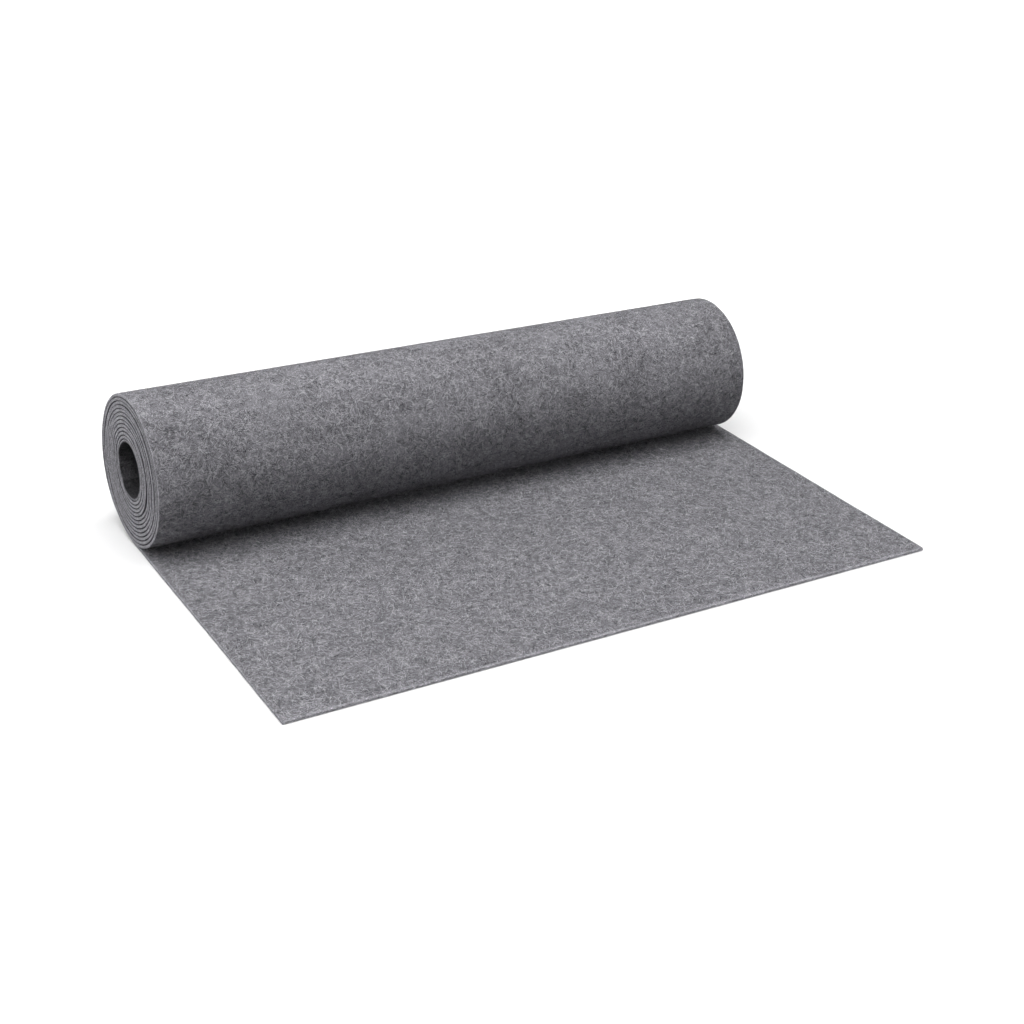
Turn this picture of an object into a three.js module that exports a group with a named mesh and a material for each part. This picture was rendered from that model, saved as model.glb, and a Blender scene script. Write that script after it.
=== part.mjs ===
// A length of needle-punched geotextile felt, wound into a roll that lies on its side, with its loose
// end spread flat in front. The roll rests on the loose end, which is its own outermost turn.
// Millimetres, +Z up. X runs along the roll, and the loose end lies towards -Y. The origin is on the
// surface that it rests on, under the middle of the object's box.

import * as THREE from 'three';

// Driving dimensions of the cloth
const clothWidth = 1000;
const clothThickness = 5;
const turnsInRoll = 13.25;
const looseReach = 564.6; // from under the roll's axis to the front edge

// The roll is wound a little looser at its left end, so that end is wider
const leftEnd = { radius: 117.3, boreRadius: 39.8 };
const rightEnd = { radius: 111.3, boreRadius: 37.8 };

// The inner turns have slid back and up in the outer ones
const boreShift = { back: 3.2, up: 0.8 };

// The turns have drifted sideways on the left end, by this much for each millimetre back or up
const leftDrift = { back: -0.05, up: 0.0417 };

// The roll's weight presses a flat this deep into its underside
const flatDepth = 0.6;

// The loose end lies a little out of square: how far each corner is outside the cloth's width
const looseCorners = { backLeft: 2.6, frontLeft: -1.9, backRight: 10.6, frontRight: -1.4 };

const clearance = 0.3; // between the loose end and the roll that it runs into
const outsideSteps = 96;
const boreSteps = 40;
const stations = 9; // cross-sections along the roll

const felt = { color: 0x86858a, roughness: 0.95, metalness: 0 };

// The cloth's winding at one station of the roll, 0 at the left end and 1 at the right. Turns count
// inwards from 0 under the axis, where the loose end leaves the roll, and rise towards the back.
function windingAt(along) {
  const radius = THREE.MathUtils.lerp(leftEnd.radius, rightEnd.radius, along);
  const boreRadius = THREE.MathUtils.lerp(leftEnd.boreRadius, rightEnd.boreRadius, along);
  const pitch = (radius - boreRadius - clothThickness) / (turnsInRoll - 0.5);
  return { radius, pitch, axisHeight: radius - flatDepth };
}

// Point at a turn count, on the cloth's outer face or, with depth given, that far into the cloth
function windingPoint({ radius, pitch, axisHeight }, turn, depth = 0) {
  const reach = radius - pitch * turn - depth;
  const angle = 2 * Math.PI * turn;
  return new THREE.Vector2(reach * Math.sin(angle), axisHeight - reach * Math.cos(angle));
}

// The turn count between two others at which the outer face passes a height
function turnAtHeight(winding, height, low, high) {
  const rising = windingPoint(winding, high).y > windingPoint(winding, low).y;
  for (let halving = 0; halving < 40; halving++) {
    const middle = (low + high) / 2;
    if (windingPoint(winding, middle).y < height === rising) {
      low = middle;
    } else {
      high = middle;
    }
  }
  return (low + high) / 2;
}

// Outside of the wound form: from the end of the loose end, along the flat, up the back, over the top,
// down the front, and back along the top of the loose end, on which the inner turns rest
function outsideOutline(winding) {
  const restHeight = clothThickness + clearance;
  const liftOff = turnAtHeight(winding, 0, 0, 0.25);
  const touchDown = turnAtHeight(winding, restHeight, 0.75, 1);
  const outline = [new THREE.Vector2(clearance, 0)];
  for (let step = 0; step <= outsideSteps; step++) {
    const turn = THREE.MathUtils.lerp(liftOff, touchDown, step / outsideSteps);
    outline.push(windingPoint(winding, turn));
  }
  outline.push(new THREE.Vector2(clearance, restHeight));
  return outline;
}

// Bore down the middle: the inner face of the last turn, with the step at the cloth's inner end
function boreOutline(winding) {
  const shift = new THREE.Vector2(boreShift.back, boreShift.up);
  const outline = [];
  for (let step = 0; step <= boreSteps; step++) {
    const turn = turnsInRoll - 1 + step / boreSteps;
    outline.push(windingPoint(winding, turn, clothThickness).add(shift));
  }
  return outline;
}

// A point of the cross-section set at its place along the roll
function placeAlong(point, along, axisHeight) {
  const drift = leftDrift.back * point.x + leftDrift.up * (point.y - axisHeight);
  return [clothWidth * (along - 0.5) + drift * (1 - along), point.x, point.y];
}

// The wound form: two walls, outside and bore, between two end faces
function woundRoll() {
  const positions = [];
  const indices = [];
  const outlines = [];
  for (let station = 0; station < stations; station++) {
    const along = station / (stations - 1);
    const winding = windingAt(along);
    const outside = outsideOutline(winding);
    const bore = boreOutline(winding);
    outlines.push({ outside, bore });
    for (const point of [...outside, ...bore]) {
      positions.push(...placeAlong(point, along, winding.axisHeight));
    }
  }
  const outsideCount = outlines[0].outside.length;
  const boreCount = outlines[0].bore.length;
  const ringCount = outsideCount + boreCount;

  const wall = (start, count, outward) => {
    for (let station = 0; station < stations - 1; station++) {
      for (let k = 0; k < count; k++) {
        const a = station * ringCount + start + k;
        const b = station * ringCount + start + ((k + 1) % count);
        const c = b + ringCount;
        const d = a + ringCount;
        const faces = outward ? [a, b, c, a, c, d] : [a, c, b, a, d, c];
        indices.push(...faces);
      }
    }
  };
  wall(0, outsideCount, true);
  wall(outsideCount, boreCount, false);

  for (const station of [0, stations - 1]) {
    const { outside, bore } = outlines[station];
    const faces = THREE.ShapeUtils.triangulateShape(outside, [bore]);
    for (const [a, b, c] of faces) {
      const corners = station === 0 ? [a, c, b] : [a, b, c];
      indices.push(...corners.map((corner) => station * ringCount + corner));
    }
  }

  const geometry = new THREE.BufferGeometry();
  geometry.setAttribute('position', new THREE.Float32BufferAttribute(positions, 3));
  geometry.setIndex(indices);
  geometry.computeVertexNormals();
  return geometry;
}

// The loose end, a flat sheet that starts under the roll's axis
function looseEnd() {
  const side = clothWidth / 2;
  const plan = new THREE.Shape([
    new THREE.Vector2(-side - looseCorners.backLeft, 0),
    new THREE.Vector2(-side - looseCorners.frontLeft, -looseReach),
    new THREE.Vector2(side + looseCorners.frontRight, -looseReach),
    new THREE.Vector2(side + looseCorners.backRight, 0),
  ]);
  return new THREE.ExtrudeGeometry(plan, { depth: clothThickness, bevelEnabled: false });
}

const cloth = new THREE.Group();
const parts = { wound_roll: woundRoll(), loose_end: looseEnd() };
for (const [name, geometry] of Object.entries(parts)) {
  const mesh = new THREE.Mesh(geometry, new THREE.MeshStandardMaterial(felt));
  mesh.name = name;
  cloth.add(mesh);
}

// The origin goes under the middle of the object's box
const box = new THREE.Box3().setFromObject(cloth);
const middle = box.getCenter(new THREE.Vector3());
cloth.position.set(-middle.x, -middle.y, -box.min.z);

export default cloth;
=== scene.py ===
# A length of grey needle-punched geotextile felt, wound into a roll that lies on its side, with its
# loose end spread flat in front. Metres, +Z up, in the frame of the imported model: X runs along the
# roll, and the loose end lies towards -Y.

import math

import bpy
import numpy as np
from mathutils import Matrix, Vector, noise


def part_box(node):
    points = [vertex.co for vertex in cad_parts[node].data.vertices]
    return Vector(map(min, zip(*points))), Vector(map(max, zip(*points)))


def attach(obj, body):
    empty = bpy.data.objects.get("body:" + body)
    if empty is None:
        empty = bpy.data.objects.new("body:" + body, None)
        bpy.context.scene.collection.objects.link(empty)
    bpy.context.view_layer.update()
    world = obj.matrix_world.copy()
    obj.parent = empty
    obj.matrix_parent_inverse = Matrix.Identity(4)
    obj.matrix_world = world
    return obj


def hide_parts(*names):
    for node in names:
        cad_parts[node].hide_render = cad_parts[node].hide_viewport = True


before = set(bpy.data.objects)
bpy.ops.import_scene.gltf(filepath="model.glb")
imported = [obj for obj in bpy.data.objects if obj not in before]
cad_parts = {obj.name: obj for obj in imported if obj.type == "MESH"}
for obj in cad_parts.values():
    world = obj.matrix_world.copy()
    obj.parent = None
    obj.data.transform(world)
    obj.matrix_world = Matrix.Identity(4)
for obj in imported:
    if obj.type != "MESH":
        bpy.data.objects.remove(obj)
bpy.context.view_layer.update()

# Camera
# It stands a little over 2 m in front and to the left of the roll, at chest height, with a lens of
# about 60 mm, and looks down over the loose end at the roll's open left end.
camera_place = (-1.1142, -2.0432, 1.1124)
camera_turn = math.radians(28.64)  # to the right of +Y
camera_tilt = math.radians(24.86)  # down from level
camera = bpy.data.objects.new("camera", bpy.data.cameras.new("camera"))
camera.data.sensor_width = 36
camera.data.lens = 60.95
camera.location = camera_place
camera.rotation_euler = (math.pi / 2 - camera_tilt, 0, -camera_turn)
bpy.context.scene.collection.objects.link(camera)
bpy.context.scene.camera = camera


# Studio floor and light
# White seamless paper under a wide softbox, with another softbox in front of the roll and smaller
# ones behind its two ends. The paper has lamps of its own further out, which keep it white to the
# horizon, and white walls stand all round.
def linear(hex_colour):
    """An sRGB hex colour as linear red, green, blue and an alpha of 1."""
    shares = [int(hex_colour[i : i + 2], 16) / 255 for i in (1, 3, 5)]
    return [s / 12.92 if s <= 0.04045 else ((s + 0.055) / 1.055) ** 2.4 for s in shares] + [1.0]


def add_node(tree, kind, settings=None, **links):
    """Adds a shader node with its settings. Each link names an input, or gives its number after a low
    line, and holds a value, a socket, or a node that stands for its own first output."""
    made = tree.nodes.new(kind)
    for name, value in (settings or {}).items():
        setattr(made, name, value)
    for name, value in links.items():
        key = int(name[1:]) if name[1:].isdigit() else name.replace("_", " ")
        if isinstance(value, bpy.types.Node):
            value = value.outputs[0]
        if isinstance(value, bpy.types.NodeSocket):
            tree.links.new(value, made.inputs[key])
        else:
            made.inputs[key].default_value = value
    return made


def new_material(name):
    """An empty node material, and its tree."""
    made = bpy.data.materials.new(name)
    made.use_nodes = True
    made.node_tree.nodes.clear()
    return made, made.node_tree


floor_half = 14.0
floor_drop = 0.0004  # below the cloth, so that the two faces don't coincide
floor_ways = [(-1, -1), (1, -1), (1, 1), (-1, 1)]
floor_corners = [(x * floor_half, y * floor_half, -floor_drop) for x, y in floor_ways]
floor_mesh = bpy.data.meshes.new("floor")
floor_mesh.from_pydata(floor_corners, [], [range(4)])
floor = bpy.data.objects.new("floor", floor_mesh)
bpy.context.scene.collection.objects.link(floor)

# Matt white paper, which the eye sees as a floor with no grain and no far edge
lamps_begin, lamps_full = 0.3, 3.0  # from the middle, where the paper's own lamps begin and are full
paper, paper_tree = new_material("white_seamless_paper")
paper_place = add_node(paper_tree, "ShaderNodeTexCoord").outputs["Object"]
paper_reach = add_node(paper_tree, "ShaderNodeVectorMath", {"operation": "LENGTH"}, _0=paper_place)
paper_lamps = add_node(paper_tree, "ShaderNodeMapRange", {"interpolation_type": "SMOOTHSTEP"},
                       Value=paper_reach.outputs["Value"], From_Min=lamps_begin, From_Max=lamps_full)
paper_glow = add_node(paper_tree, "ShaderNodeEmission", Color=linear("#ffffff"), Strength=paper_lamps)
paper_white = add_node(paper_tree, "ShaderNodeBsdfDiffuse", Color=linear("#fbfbfb"))
paper_seen = add_node(paper_tree, "ShaderNodeAddShader", _0=paper_white, _1=paper_glow)
# What it throws back at the roll is less, so that the roll's underside stays dark
paper_bounce = add_node(paper_tree, "ShaderNodeBsdfDiffuse", Color=linear("#b4b4b4"))
seen_share = add_node(paper_tree, "ShaderNodeLightPath").outputs["Is Camera Ray"]
paper_shader = add_node(paper_tree, "ShaderNodeMixShader", _0=seen_share, _1=paper_bounce, _2=paper_seen)
add_node(paper_tree, "ShaderNodeOutputMaterial", Surface=paper_shader)
floor_mesh.materials.append(paper)

# White walls all round, which throw little light of their own
wall_light = 0.03
surroundings = bpy.data.worlds.new("white_walls")
surroundings.use_nodes = True
wall_tree = surroundings.node_tree
wall_tree.nodes.clear()
walls_seen = add_node(wall_tree, "ShaderNodeLightPath").outputs["Is Camera Ray"]
wall_strength = add_node(wall_tree, "ShaderNodeMath", {"operation": "MAXIMUM"}, _0=walls_seen, _1=wall_light)
walls = add_node(wall_tree, "ShaderNodeBackground", Color=linear("#ffffff"), Strength=wall_strength)
add_node(wall_tree, "ShaderNodeOutputWorld", Surface=walls)
bpy.context.scene.world = surroundings
bpy.context.scene.view_settings.view_transform = "Standard"


def soft_light(name, place, aim, size, power, shadow=True):
    """A soft light of this width and depth in metres and power in watts."""
    lamp = bpy.data.lights.new(name, "AREA")
    lamp.shape = "RECTANGLE"
    lamp.size, lamp.size_y = size
    lamp.energy = power
    lamp.use_shadow = shadow
    holder = bpy.data.objects.new(name, lamp)
    holder.location = place
    holder.rotation_euler = (Vector(aim) - Vector(place)).to_track_quat("-Z", "Y").to_euler()
    bpy.context.scene.collection.objects.link(holder)


roll_middle = (0, 0.2, 0.1)
left_half = (-0.4, 0.2, 0.1)
right_half = (0.4, 0.2, 0.1)
soft_light("overhead_light", (0.0, -0.6, 4.1), aim=roll_middle, size=(5.0, 2.8), power=139)
soft_light("front_light", (0.0, -2.37, 3.16), aim=roll_middle, size=(5.0, 2.0), power=50)
soft_light("end_light", (-3.3, 1.7, 1.4), aim=left_half, size=(1.5, 1.5), power=75)
soft_light("back_light", (3.6, 1.6, 1.6), aim=right_half, size=(1.5, 1.5), power=20)
# A little light that casts no shadow, so that the crease under the roll isn't black
soft_light("crease_fill", (0.0, 0.2, 4.1), aim=roll_middle, size=(5.0, 1.5), power=54, shadow=False)


# Loose end
# The last half metre of the cloth, unrolled flat on the floor in front of the roll. The cloth is
# polyester staple fibre, carded and needle-punched into felt 5 mm thick, slit along both sides and
# cut across the end, and it lies a little out of square.
loose_low, loose_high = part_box("loose_end")
roll_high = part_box("wound_roll")[1]
cloth_width = 1.0
half_width = cloth_width / 2
cloth_thickness = loose_high.z - loose_low.z
cloth_middle = roll_high.x - half_width
axis_y = loose_high.y
loose_reach = loose_high.y - loose_low.y
# How far each corner lies to the right of its place in a square sheet
corner_offset = {"back left": -0.0026, "front left": 0.0019, "back right": 0.0106, "front right": -0.0014}
edge_rounding = 0.0011  # the slitting knife leaves soft corners
side_bends = np.radians([30, 60, 90])  # the facets of a rounded corner
side_points = 2 * len(side_bends)
edge_column = 0.003  # width of a face's first and last column of quads
face_step = 0.004
# How much lighter or darker the felt is painted in some places: painted highlights, painted light and painted
# shade
rim_highlight_tone = 1.4  # painted highlight along the rounded corners of the slit sides
# The slit sides are painted lighter: painted light on the roll's ends
cut_light_tone = 1.28
front_rim_highlight_tone = 1.35  # painted highlight, brighter still, on the rounded rim beside the cut across the front
# The front cut's face looks away from most of the lamps and is painted much lighter: painted light
front_cut_light_tone = 2.3
loose_top_shade_tone = 0.88  # the loose end's upper face is painted a little darker: painted shade
groove_shade_tones = (0.55, 0.85)  # painted shade on the corners that lie against the next turn
gap_shade_tone = 0.35  # painted shade on the faces between turns
hole_shade_tone = 0.15  # painted shade in the hole down the middle of the roll
# the length over which the hole's painted shade fades in
hole_shade_blend = 0.02


def smooth_step(low, high, x):
    """0 below low, 1 above high, and a smooth rise between them."""
    share = np.clip((np.asarray(x, float) - low) / (high - low), 0, 1)
    return share * share * (3 - 2 * share)


def lumps(across, along, lump_size, seed):
    """Soft noise from -1 to 1 over the cloth, with lumps of about this size in metres."""
    places = np.broadcast_arrays(np.asarray(across, float) / lump_size, np.asarray(along, float) / lump_size)
    flat = [noise.noise(Vector((u, v, seed))) for u, v in zip(places[0].ravel(), places[1].ravel())]
    return np.array(flat).reshape(places[0].shape)


def unevenness(across, along, wide, fine, seed):
    """Two sorts of lumps together. wide and fine each give a height and a lump size in metres."""
    wide_height, wide_size = wide
    fine_height, fine_size = fine
    wide_lumps = wide_height * lumps(across, along, wide_size, seed)
    return wide_lumps + fine_height * lumps(across, along, fine_size, seed + 5)


# How far the two slit sides stray from the straight along the whole cloth: the slow drift of the
# slitter and a little raggedness
slitter_drift = (0.0010, 0.31)
raggedness = (0.0004, 0.023)
longest_cloth = 7.2  # a little more than the whole cloth
wander_step = 0.004
wander_along = np.arange(0, longest_cloth, wander_step)
left_wander = unevenness(wander_along, 0, slitter_drift, raggedness, seed=1.5)
right_wander = unevenness(wander_along, 0, slitter_drift, raggedness, seed=22.5)


def cloth_section(columns, tones):
    """The cloth cut across its length: a closed ring of places across and depths, and the tone of each.
    It runs along the outer face, round the right side, back along the inner face and round the left
    side. tones are those of the outer and the inner face."""
    inset = half_width - edge_rounding
    between_columns = np.linspace(-inset + edge_column, inset - edge_column, columns - 2)
    face = np.concatenate([[-inset], between_columns, [inset]])
    bulge = edge_rounding * np.sin(side_bends)
    right_side = np.concatenate([inset + bulge, inset + bulge[::-1]])
    near_depth = edge_rounding * (1 - np.cos(side_bends))
    side_depth = np.concatenate([near_depth, cloth_thickness - near_depth[::-1]])
    # Corners are painted with a highlight beside an open face and with shade beside the next turn
    corners = [(rim_highlight_tone, rim_highlight_tone) if tone > gap_shade_tone else groove_shade_tones for tone in tones]
    side_tone = np.array([*corners[0], cut_light_tone, cut_light_tone, *corners[1][::-1]])
    across = np.concatenate([face, right_side, face[::-1], -right_side])
    depth = np.concatenate([0 * face, side_depth, 0 * face + cloth_thickness, side_depth[::-1]])
    tone = np.concatenate([0 * face + tones[0], side_tone, 0 * face + tones[1], side_tone[::-1]])
    return across, depth, tone


def cloth_mesh(name, columns, along, place, tones=(1, 1), thinner=None, front_cut=False, wall_from=None):
    """One closed sheet: a section with this many columns on each face at each length along the cloth.
    place turns across, along and depth into points. thinner gives the depths of each section's two
    faces, front_cut says that the cut at the start shows and is painted lighter, and wall_from is the
    length from which the inner face is the wall of the hole, which is painted dark as shade."""
    across, depth, tone = cloth_section(columns, tones)
    rows, ring = len(along), len(across)
    across = np.tile(across, (rows, 1))
    tone = np.tile(tone, (rows, 1))
    low, high = (0, cloth_thickness) if thinner is None else thinner
    depth = np.ones(rows)[:, None] * depth
    depth = np.reshape(low, (-1, 1)) + depth * np.reshape(np.subtract(high, low), (-1, 1)) / cloth_thickness
    if front_cut:
        # The first two sections are the cut, painted light, and the next two are the rounded rim beside it,
        # with a painted highlight
        tone[0:2] = front_cut_light_tone
        tone[2:4] = front_rim_highlight_tone
    # From there the wall of the hole is painted dark: painted shade inside the hole
    if wall_from is not None:
        on_inner_face = depth > cloth_thickness / 2
        hole_shade_share = smooth_step(wall_from, wall_from + hole_shade_blend, along)[:, None] * on_inner_face
        tone = tone * (1 - hole_shade_share) + hole_shade_tone * hole_shade_share
    length = np.repeat(np.asarray(along)[:, None], ring, 1)
    points = place(across, length, depth)
    vertex = np.arange(rows * ring).reshape(rows, ring)
    nextward = np.roll(vertex, -1, 1)
    faces = np.stack([vertex[:-1], nextward[:-1], nextward[1:], vertex[1:]], -1).reshape(-1, 4).tolist()
    # The two ends are closed by a strip between the faces and a piece at each rounded side
    inner_start = columns + side_points
    inner_stop = inner_start + columns
    for row, flipped in ((0, True), (rows - 1, False)):
        first = vertex[row, :columns]
        second = vertex[row, inner_start:inner_stop][::-1]
        strip = np.stack([first[:-1], first[1:], second[1:], second[:-1]], -1).tolist()
        strip.append(vertex[row, columns - 1 : inner_start + 1].tolist())
        strip.append(vertex[row, inner_stop - 1 :].tolist() + [int(vertex[row, 0])])
        faces += [corners[::-1] for corners in strip] if flipped else strip
    mesh = bpy.data.meshes.new(name)
    mesh.from_pydata(points.reshape(-1, 3).tolist(), [], faces)
    mesh.shade_smooth()
    on_cloth = mesh.attributes.new("on_cloth", "FLOAT_VECTOR", "POINT")
    on_cloth.data.foreach_set("vector", np.stack([across, length, depth], -1).astype(np.float32).ravel())
    # How much lighter or darker each point is painted: painted highlight, painted light and painted shade
    painted_light_tone = mesh.attributes.new("painted_light_tone", "FLOAT", "POINT")
    painted_light_tone.data.foreach_set("value", tone.astype(np.float32).ravel())
    made = bpy.data.objects.new(name, mesh)
    bpy.context.scene.collection.objects.link(made)
    return made


loose_swells = (0.0003, 0.045)  # height and size of the face's lumps
loose_tufts = (0.00018, 0.013)
face_seed = 3.5
roll_lies_on = (0.49, 0.52)  # the lengths between which the roll comes to lie on the loose end
near_top = 0.6  # the share of the thickness above which the face's lumps are felt


def loose_place(across, along, depth):
    """Points of the loose end. Along runs from the front cut, and the underside is at depth 0."""
    share = across / cloth_width + 0.5
    back = along / loose_reach
    left = corner_offset["front left"] + (corner_offset["back left"] - corner_offset["front left"]) * back
    right = corner_offset["front right"] + (corner_offset["back right"] - corner_offset["front right"]) * back
    left = left + np.interp(along, wander_along, left_wander) * (1 - back)
    right = right + np.interp(along, wander_along, right_wander) * (1 - back)
    x = cloth_middle + across + left + (right - left) * share
    y = axis_y - loose_reach + along
    # The top is a little uneven, but not where the roll lies on it
    on_top = smooth_step(near_top, 1, depth / cloth_thickness) * (1 - smooth_step(*roll_lies_on, along))
    uneven = unevenness(across, along, loose_swells, loose_tufts, face_seed)
    return np.stack([x, y, depth + on_top * uneven], -1)


rounding_rows = edge_rounding * np.array([0, 0.12, 0.45, 1])
loose_rows = int(loose_reach / face_step)
loose_along = np.concatenate([rounding_rows, np.linspace(edge_rounding, loose_reach, loose_rows)[1:]])
before_corner = np.clip(edge_rounding - loose_along, 0, None)
cut_away = edge_rounding - np.sqrt(edge_rounding**2 - before_corner**2)
face_columns = int(cloth_width / face_step)
loose_cloth = cloth_mesh("loose_cloth", face_columns, loose_along, loose_place, tones=(1, loose_top_shade_tone),
                         thinner=(cut_away, cloth_thickness - cut_away), front_cut=True)


# Needle-punched felt of mid grey polyester staple, a blend of charcoal, grey and off-white fibres
# that lie every way in the cloth. It is matt, and the eye sees its fibres as short strokes, with fine
# grain where they cross and soft clouds where one colour is thicker.
def felt_material():
    made, tree = new_material("needle_punched_polyester_felt")

    # Places on the cloth in millimetres, bent a little so that the strokes aren't straight
    to_mm = 1000
    bend_size, bend_reach = 20, 8
    on_cloth = add_node(tree, "ShaderNodeAttribute", {"attribute_name": "on_cloth"}).outputs["Vector"]
    place = add_node(tree, "ShaderNodeVectorMath", {"operation": "SCALE"}, _0=on_cloth, Scale=to_mm)
    bend = add_node(tree, "ShaderNodeTexNoise", Vector=place, Scale=1 / bend_size, Detail=1.0)
    bend = add_node(tree, "ShaderNodeVectorMath", {"operation": "SUBTRACT"},
                    _0=bend.outputs["Color"], _1=(0.5, 0.5, 0.5))
    bent = add_node(tree, "ShaderNodeVectorMath", {"operation": "MULTIPLY_ADD"},
                    _0=bend, _1=(bend_reach, bend_reach, bend_reach), _2=place)

    # Fibres in five directions. Real ones are about 0.03 mm across, and are drawn 1.1 mm across here,
    # or the render wouldn't show them.
    fibre_length, fibre_width = 12.0, 1.1
    directions = 5
    first_direction = 0.3  # of the step between two, so that none runs straight across the cloth
    pattern_shift = (17.0, 5.0)  # so that no two directions share a pattern
    lightest, darkest = None, None
    for direction in range(directions):
        turned = add_node(tree, "ShaderNodeVectorRotate", {"rotation_type": "Z_AXIS"}, Vector=bent,
                          Angle=math.pi * (direction + first_direction) / directions)
        stretched = add_node(tree, "ShaderNodeVectorMath", {"operation": "MULTIPLY_ADD"}, _0=turned,
                             _1=(1 / fibre_length, 1 / fibre_width, 1 / fibre_width),
                             _2=(pattern_shift[0] * direction, pattern_shift[1] * direction, 0))
        streak = add_node(tree, "ShaderNodeTexNoise", Vector=stretched, Scale=1.0, Detail=1.0, Roughness=0.6)
        if lightest is None:
            lightest, darkest = streak, streak
        else:
            lightest = add_node(tree, "ShaderNodeMath", {"operation": "MAXIMUM"}, _0=lightest, _1=streak)
            darkest = add_node(tree, "ShaderNodeMath", {"operation": "MINIMUM"}, _0=darkest, _1=streak)
    # The noise at the edge and at the middle of a stroke
    light_edge, light_middle = 0.63, 0.74
    dark_edge, dark_middle = 0.37, 0.26
    light_strokes = add_node(tree, "ShaderNodeMapRange", {"interpolation_type": "SMOOTHSTEP"},
                             Value=lightest, From_Min=light_edge, From_Max=light_middle)
    dark_strokes = add_node(tree, "ShaderNodeMapRange", {"interpolation_type": "SMOOTHSTEP"},
                            Value=darkest, From_Min=dark_edge, From_Max=dark_middle)

    # Grain of single crossings, and clouds where one colour of fibre is thicker
    grain_size, cloud_size = 1.1, 16
    grain = add_node(tree, "ShaderNodeTexNoise", Vector=place, Scale=1 / grain_size, Detail=1.0)
    clouds = add_node(tree, "ShaderNodeTexNoise", Vector=place, Scale=1 / cloud_size, Detail=3.0,
                      Roughness=0.6)

    # All of them are weighed together into one shade, from 0 for charcoal to 1 for off-white
    mid_shade = 0.5
    stroke_weight, grain_weight, cloud_weight = 0.3, 0.9, 0.4
    shade = mid_shade
    for strokes, weight in ((light_strokes, stroke_weight), (dark_strokes, -stroke_weight)):
        shade = add_node(tree, "ShaderNodeMath", {"operation": "MULTIPLY_ADD"},
                         _0=strokes, _1=weight, _2=shade)
    for pattern, weight in ((grain, grain_weight), (clouds, cloud_weight)):
        centred = add_node(tree, "ShaderNodeMath", {"operation": "SUBTRACT"}, _0=pattern, _1=mid_shade)
        shade = add_node(tree, "ShaderNodeMath", {"operation": "MULTIPLY_ADD"},
                         _0=centred, _1=weight, _2=shade)
    colours = add_node(tree, "ShaderNodeValToRGB", Fac=shade)
    ramp = colours.color_ramp
    ramp.elements[0].color = linear("#39393c")
    ramp.elements[1].color = linear("#d3d2d8")
    ramp.elements.new(mid_shade).color = linear("#858489")
    # The painted highlight, light and shade from the mesh scale the felt's colour
    tone = add_node(tree, "ShaderNodeAttribute", {"attribute_name": "painted_light_tone"}).outputs["Fac"]
    toned = add_node(tree, "ShaderNodeVectorMath", {"operation": "SCALE"}, _0=colours, Scale=tone)

    # Pale fibres and crossings stand a little higher
    grain_height = 0.5
    relief = 0.0008
    height = add_node(tree, "ShaderNodeMath", {"operation": "MULTIPLY_ADD"},
                      _0=grain, _1=grain_height, _2=shade)
    bump = add_node(tree, "ShaderNodeBump", Height=height, Distance=relief, Strength=1.0)
    felt_shader = add_node(tree, "ShaderNodeBsdfPrincipled", Base_Color=toned, Normal=bump, Roughness=0.95,
                           Diffuse_Roughness=0.2, Specular_IOR_Level=0.15)
    add_node(tree, "ShaderNodeOutputMaterial", Surface=felt_shader)
    return made


felt = felt_material()
loose_cloth.data.materials.append(felt)
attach(loose_cloth, "root")
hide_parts("loose_end")


# Outer turn
# The same cloth where it leaves the floor, goes up the back of the roll, over the top and down the
# front, to where it comes to rest on the loose end. It was wound on a 3 inch mandrel, a little looser
# at the left end, and the roll's weight has pressed a flat under it.
turns_in_roll = 13.25
left_radius, right_radius = 0.1173, 0.1113
left_bore, right_bore = 0.0398, 0.0378
flat_depth = 0.0006
layer_rest = cloth_thickness + 0.00006  # from one turn to the next where they press on each other
pressed_blend = 0.0001  # height over which a turn leaves what it is pressed on
inner_slide = {"back": 0.0032, "up": 0.0008}  # of the inner turns in the outer ones, at the left end
slide_loss = 0.3  # how much of it is gone at the right end
parting_turn = 8.25  # the turn at which the inner ones have come away from the outer ones
parting_blend = 0.4
gap_opens, gap_closes = (0.53, 0.62), (0.82, 0.92)  # the parts of a turn, over the top and down the front
left_drift = {"back": -0.05, "up": 0.0417}  # sideways, for each metre back or up
# The first part of a turn, over which these take the place of the loose end's own
drift_blend = 0.2
wander_blend = 0.1
right_corner_blend = 0.35


def winding(across):
    """Share of the width, radius, step from turn to turn and axis height at a place across the cloth."""
    share = across / cloth_width + 0.5
    radius = left_radius + (right_radius - left_radius) * share
    bore = left_bore + (right_bore - left_bore) * share
    step = (radius - bore - cloth_thickness) / (turns_in_roll - 0.5)
    return share, radius, step, radius - flat_depth


middle_radius, middle_step = winding(0.0)[1:3]


def length_to_turn(along):
    """The turn reached at a length along the cloth, counted from under the axis."""
    wound = np.clip(along - loose_reach, 0, None)
    return (middle_radius - np.sqrt(middle_radius**2 - middle_step * wound / math.pi)) / middle_step


def turn_to_length(turn):
    """The length along the cloth's outer face at which a turn is reached."""
    return loose_reach + 2 * math.pi * (middle_radius * turn - middle_step * turn**2 / 2)


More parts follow.
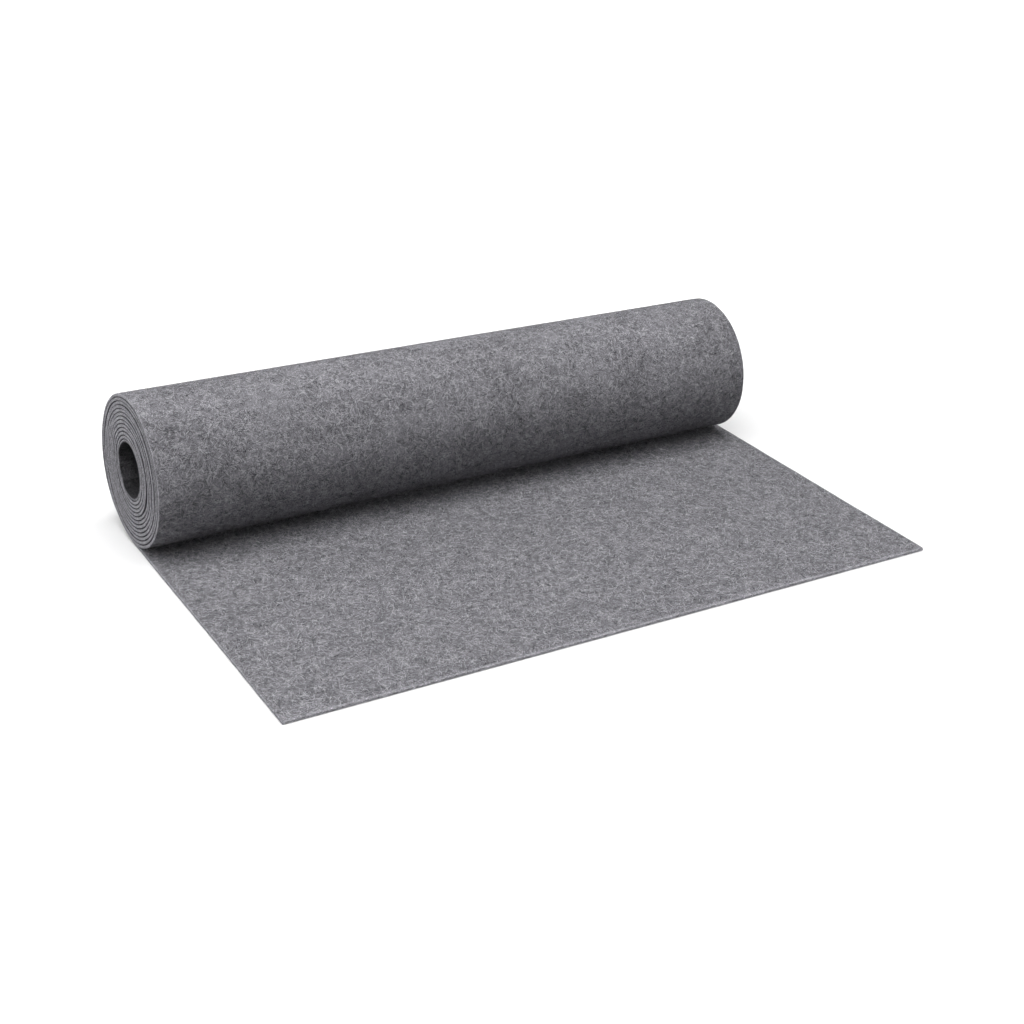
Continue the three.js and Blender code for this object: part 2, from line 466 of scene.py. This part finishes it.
def wound_place(across, along, depth):
    """Points of the wound cloth. Depth 0 is its outer face."""
    turn = length_to_turn(along)
    share, radius, step, axis_height = winding(across)
    angle = 2 * math.pi * turn
    out_y, out_z = np.sin(angle), -np.cos(angle)
    on_y, on_z = np.cos(angle), np.sin(angle)
    # The inner turns have slid together. At the back the outer ones are pressed tight, and at the front
    # a gap has opened between the two groups.
    slide_back = inner_slide["back"] * (1 - slide_loss * share)
    slide_up = inner_slide["up"] * (1 - slide_loss * share)
    part_of_turn = turn % 1
    spread = np.clip(turn / parting_turn, 0, 1)
    parted = smooth_step(*gap_opens, part_of_turn) * (1 - smooth_step(*gap_closes, part_of_turn))
    came_away = smooth_step(parting_turn - parting_blend, parting_turn, turn)
    outward = (slide_back * out_y + slide_up * out_z) * (spread + parted * (came_away - spread))
    onward = (slide_back * on_y + slide_up * on_z) * came_away
    reach = radius - step * turn + outward
    y = reach * out_y + onward * on_y
    z = axis_height + reach * out_z + onward * on_z
    # Pressed flat where it lies on the floor or on the turn below
    rest = layer_rest * np.round(turn)
    z = rest + 0.5 * ((z - rest) + np.sqrt((z - rest) ** 2 + pressed_blend**2))
    height = z - axis_height
    drifted = smooth_step(0, drift_blend, turn)
    wandered = smooth_step(0, wander_blend, turn)
    left = (left_drift["back"] * y + left_drift["up"] * height) * drifted
    left = left + corner_offset["back left"] * (1 - drifted)
    left = left + np.interp(along, wander_along, left_wander) * wandered
    right = corner_offset["back right"] * (1 - smooth_step(0, right_corner_blend, turn))
    right = right + np.interp(along, wander_along, right_wander) * wandered
    x = cloth_middle + across + left + (right - left) * share
    return np.stack([x, axis_y + y - depth * out_y, z - depth * out_z], -1)


outer_swells = (0.0004, 0.06)
outer_tufts = (0.0002, 0.014)
lifts_off, comes_to_rest = (0.03, 0.06), (0.93, 0.96)  # the parts of the turn
near_outside = 0.4  # the share of the thickness down to which the face's lumps are felt


def outer_place(across, along, depth):
    """Points of the outer turn, whose outer face is a little uneven but for where it lies on something."""
    turn = length_to_turn(along)
    free = smooth_step(*lifts_off, turn) * (1 - smooth_step(*comes_to_rest, turn))
    on_face = (1 - smooth_step(0, near_outside, depth / cloth_thickness)) * free
    uneven = unevenness(across, along, outer_swells, outer_tufts, face_seed)
    return wound_place(across, along, depth - on_face * uneven)


outer_end = turn_to_length(1.0)
outer_rows = int((outer_end - loose_reach) / face_step)
outer_along = np.linspace(loose_reach, outer_end, outer_rows)
# Its inner face lies against the next turn and is painted dark: painted shade
outer_turn = cloth_mesh("outer_turn", face_columns, outer_along, outer_place, tones=(1, gap_shade_tone))
outer_turn.data.materials.append(felt)
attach(outer_turn, "root")
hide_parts("wound_roll")


# Inner turns
# The rest of the cloth, twelve and a quarter turns, inside the outer one. What shows of it is its
# slit sides at both ends of the roll, with the gaps between turns, and the wall of the hole down the
# middle, where the cloth's torn inner end thins out.
inner_steps = 76  # sections for each turn
inner_columns = 14
inner_rows = int((turns_in_roll - 1) * inner_steps)
inner_along = turn_to_length(np.linspace(1.0, turns_in_roll, inner_rows))
hole_wall_from = turn_to_length(turns_in_roll - 1)
inner_end = inner_along[-1]
feather = 0.065  # the inner end was torn, and thins out over this length
torn_away = 0.85  # the share of its thickness that is gone at the very end
inner_face = cloth_thickness * (1 - torn_away * smooth_step(inner_end - feather, inner_end, inner_along))
# Both faces lie between turns and are painted dark: painted shade, darker still on the wall of the hole
inner_turns = cloth_mesh("inner_turns", inner_columns, inner_along, wound_place, tones=(gap_shade_tone, gap_shade_tone),
                         thinner=(0 * inner_face, inner_face), wall_from=hole_wall_from)
inner_turns.data.materials.append(felt)
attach(inner_turns, "root")
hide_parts("wound_roll")


# Loose fibres
# Needling and slitting leave fibre ends and loops that stand off both faces and off the cut edges.
# They are the same polyester staple, about 0.03 mm thick in the real cloth and drawn 0.4 to 0.45 mm
# wide here, or the render wouldn't show them.
fibre_chance = np.random.default_rng(4)


# Polyester staple, dyed in the three greys of the cloth's blend. A single fibre is matt and paler or
# darker than the felt behind it, so the eye sees a light fuzz of crossing hairs.
def fibre_material(name, hex_colour):
    made, tree = new_material(name)
    fibre = add_node(tree, "ShaderNodeBsdfPrincipled", Base_Color=linear(hex_colour), Roughness=0.8,
                     Diffuse_Roughness=0.2, Specular_IOR_Level=0.15)
    add_node(tree, "ShaderNodeOutputMaterial", Surface=fibre)
    return made


fibre_materials = [
    fibre_material("off_white_polyester_fibre", "#cccbd0"),
    fibre_material("grey_polyester_fibre", "#87868b"),
    fibre_material("charcoal_polyester_fibre", "#323235"),
]
fibre_shares = (0.24, 0.46, 0.3)  # of off-white, grey and charcoal ones
fibre_curl = 0.08  # how far a fibre's middle is out of line, as a share of half its length
end_sink = 0.0001  # how deep its two ends are in the cloth


def scattered(count, across, along, depth):
    """Random spots on the cloth between these limits."""
    limits = (across, along, depth)
    return np.stack([fibre_chance.uniform(low, high, count) for low, high in limits], -1)


def loose_fibres(name, groups, fibre_width):
    """One piece of loose fibres, each a narrow ribbon with pointed ends. A group has spots on the cloth,
    the way out of the cloth there, the spread of headings, the least and greatest length and lift, and
    the function that places the cloth."""
    all_points = []
    for spots, outward, spread, length, lift, place in groups:
        count = len(spots)
        heading = fibre_chance.normal(size=(count, 3)) * spread
        heading /= np.linalg.norm(heading, axis=1, keepdims=True)
        sideways = np.cross(outward, heading)
        half_length = fibre_chance.uniform(*length, (count, 1)) / 2
        curl = fibre_chance.normal(0, fibre_curl, (count, 1)) * half_length
        lifted = fibre_chance.uniform(*lift, (count, 1)) * outward
        sunk = -end_sink * np.asarray(outward)
        middle = spots + sideways * curl + lifted
        half_ribbon = sideways * fibre_width / 2
        first_end = spots - heading * half_length + sunk
        second_end = spots + heading * half_length + sunk
        corners = np.stack([first_end, middle - half_ribbon, second_end, middle + half_ribbon], 1)
        all_points.append(place(corners[..., 0], corners[..., 1], corners[..., 2]).reshape(-1, 3))
    points = np.concatenate(all_points)
    fibre_count = len(points) // 4
    faces = [face for first in range(0, 4 * fibre_count, 4)
             for face in ((first, first + 1, first + 3), (first + 1, first + 2, first + 3))]
    mesh = bpy.data.meshes.new(name)
    mesh.from_pydata(points.tolist(), [], faces)
    for material in fibre_materials:
        mesh.materials.append(material)
    colour = fibre_chance.choice(3, fibre_count, p=fibre_shares)
    mesh.polygons.foreach_set("material_index", np.repeat(colour, 2).astype(np.int32))
    made = bpy.data.objects.new(name, mesh)
    bpy.context.scene.collection.objects.link(made)
    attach(made, "root")


def on_loose_end(across, along, depth):
    """Points on the loose end's upper face, none of them past its cut edges."""
    return loose_place(np.clip(across, -half_width, half_width), np.maximum(along, 0), depth)


def on_roll(across, along, depth):
    """Points on the roll's outside, none of them past its ends."""
    return wound_place(np.clip(across, -half_width, half_width), along, depth)


lowest_fibre = 0.0002


def above_floor(across, along, depth):
    """Points on the loose end's cut edges, none of them under it."""
    return loose_place(across, along, np.maximum(depth, lowest_fibre))


# Those on the two faces, from the front edge to under the roll, and all the way round the roll
rim = 0.003  # the width beside a cut edge that has none
inside = (rim - half_width, half_width - rim)
face_length, face_lift, face_width = (0.010, 0.022), (0.0001, 0.0004), 0.00045
any_way = (1, 1, 0)
loose_end_shows = (rim, 0.545)
roll_shows = (turn_to_length(0.08), turn_to_length(0.94))
loose_fibres("loose_end_fibres", [
    (scattered(90000, inside, loose_end_shows, (cloth_thickness, cloth_thickness)),
     (0, 0, 1), any_way, face_length, face_lift, on_loose_end),
], face_width)
loose_fibres("roll_fibres", [
    (scattered(96000, inside, roll_shows, (0, 0)),
     (0, 0, -1), any_way, face_length, face_lift, on_roll),
], face_width)

# Those on the loose end's left, right and front edges
edge_length, edge_lift, edge_width = (0.002, 0.007), (0.0003, 0.0010), 0.0004
edge_depth = (0.001, cloth_thickness - 0.001)
side_shows = (rim, 0.56)
along_side = (0, 1, 0.25)
along_front = (1, 0, 0.25)
loose_fibres("edge_fibres", [
    (scattered(300, (-half_width, -half_width), side_shows, edge_depth),
     (-1, 0, 0), along_side, edge_length, edge_lift, above_floor),
    (scattered(300, (half_width, half_width), side_shows, edge_depth),
     (1, 0, 0), along_side, edge_length, edge_lift, above_floor),
    (scattered(700, inside, (0, 0), edge_depth),
     (0, -1, 0), along_front, edge_length, edge_lift, above_floor),
], edge_width)
